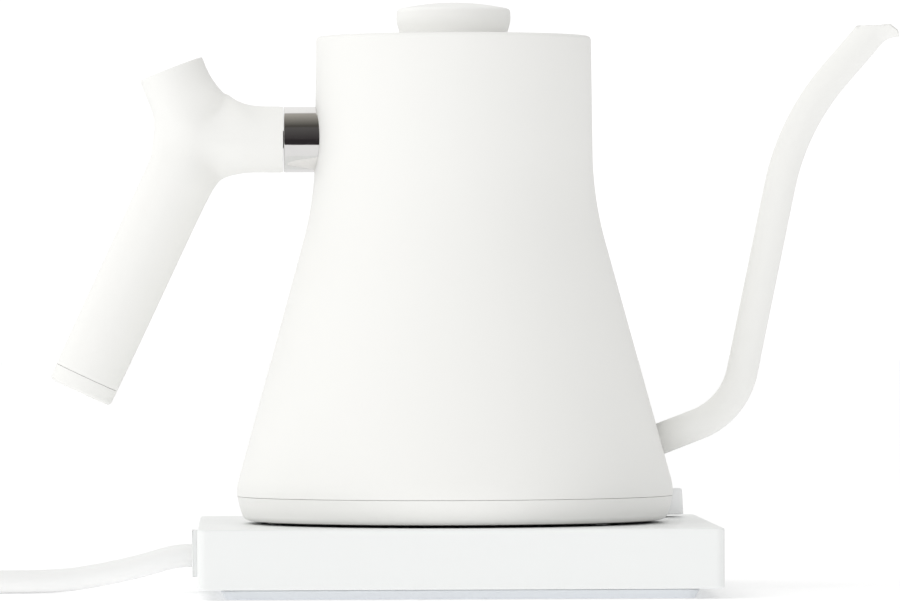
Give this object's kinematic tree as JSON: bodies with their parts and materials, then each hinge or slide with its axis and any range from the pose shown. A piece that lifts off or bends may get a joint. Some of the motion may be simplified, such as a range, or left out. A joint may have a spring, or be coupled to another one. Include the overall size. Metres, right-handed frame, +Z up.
{
  "type": "electric gooseneck kettle",
  "caption": "Tapered electric kettle with a slim gooseneck spout, a Y-shaped handle and a lift-out lid, on a square powered base with a control knob and a mains cord.",
  "frame": {"origin": "on the kettle's turning axis, at the surface that the base stands on, in the middle of the foot pad's underside", "axes": "+Z up, +X towards the spout, -X towards the handle and the mains cord, +Y towards the side with the display and the control knob"},
  "size_m": [0.4543, 0.187, 0.2032],
  "materials": {
    "white_coat": "matte powder coat",
    "white_plastic": "fine matte moulding",
    "polished_steel": "polished stainless steel",
    "brushed_steel": "plain stainless steel",
    "aluminium": "plain",
    "brass": "plain contacts",
    "black_plastic": "matte",
    "silicone": "pale grey silicone",
    "window": "dark gloss window",
    "board": "glass-fibre circuit board",
    "cord": "white PVC"
  },
  "bodies": {
    "base": {"base_cover": "white_plastic", "base_tray": "white_plastic", "foot_pad": "silicone", "base_screw_1": "brushed_steel", "base_screw_2": "brushed_steel", "base_screw_3": "brushed_steel", "base_screw_4": "brushed_steel", "base_socket": "black_plastic", "base_contact_inner": "brass", "base_contact_outer": "brass", "display_window": "window", "display_module": "black_plastic", "rotary_encoder": "brushed_steel", "circuit_board": "board", "power_relay": "black_plastic", "terminal_block": "white_plastic", "cord_clamp": "white_plastic", "live_lead": "cord", "neutral_lead": "cord", "earth_lead": "cord", "cord_gland": "white_plastic", "power_cord": "cord", "cord_coil": "cord", "cord_tail": "cord", "plug_body": "cord", "plug_blade_1": "brass", "plug_blade_2": "brass", "plug_earth_pin": "brass"},
    "kettle_link": {"kettle_connector": "white_plastic", "kettle_contact_pin": "brass", "kettle_contact_ring": "brass"},
    "kettle": {"kettle_body": "white_coat", "bottom_cover": "white_coat", "spout": "white_coat", "underside_plate": "black_plastic", "kettle_foot_1": "silicone", "kettle_foot_2": "silicone", "kettle_foot_3": "silicone", "underside_screw_1": "brushed_steel", "underside_screw_2": "brushed_steel", "underside_screw_3": "brushed_steel", "heater_plate": "brushed_steel", "heat_spreader": "aluminium", "heating_element": "brushed_steel", "dry_boil_cutout": "white_plastic", "temperature_probe": "polished_steel", "handle_grip": "white_plastic", "handle_end_cap": "white_plastic", "handle_collar": "polished_steel", "handle_stud": "polished_steel"},
    "lid": {"lid_plate": "white_coat", "lid_body": "black_plastic", "lid_gasket": "silicone", "lid_knob": "white_plastic", "lid_screw": "brushed_steel"},
    "knob_shaft": {"encoder_shaft": "aluminium"},
    "knob": {"control_knob": "white_plastic"}
  },
  "joints": [
    {"name": "kettle_lift", "type": "slide", "parent": "base", "child": "kettle_link", "axis": [0, 0, 1], "range_m": [0, 0.22]},
    {"name": "kettle_swivel", "type": "hinge", "parent": "kettle_link", "child": "kettle", "pos_m": [0, 0, 0.0245], "axis": [0, 0, 1], "continuous": true},
    {"name": "lid_lift", "type": "slide", "parent": "kettle", "child": "lid", "axis": [0, 0, 1], "range_m": [0, 0.06]},
    {"name": "knob_push", "type": "slide", "parent": "base", "child": "knob_shaft", "axis": [0, 0, -1], "range_m": [0, 0.0007], "stiffness_N_per_m": 1500, "springref_m": -0.0004},
    {"name": "knob_turn", "type": "hinge", "parent": "knob_shaft", "child": "knob", "pos_m": [0.0716, 0.066, 0.03], "axis": [0, 0, 1], "continuous": true}
  ]
}
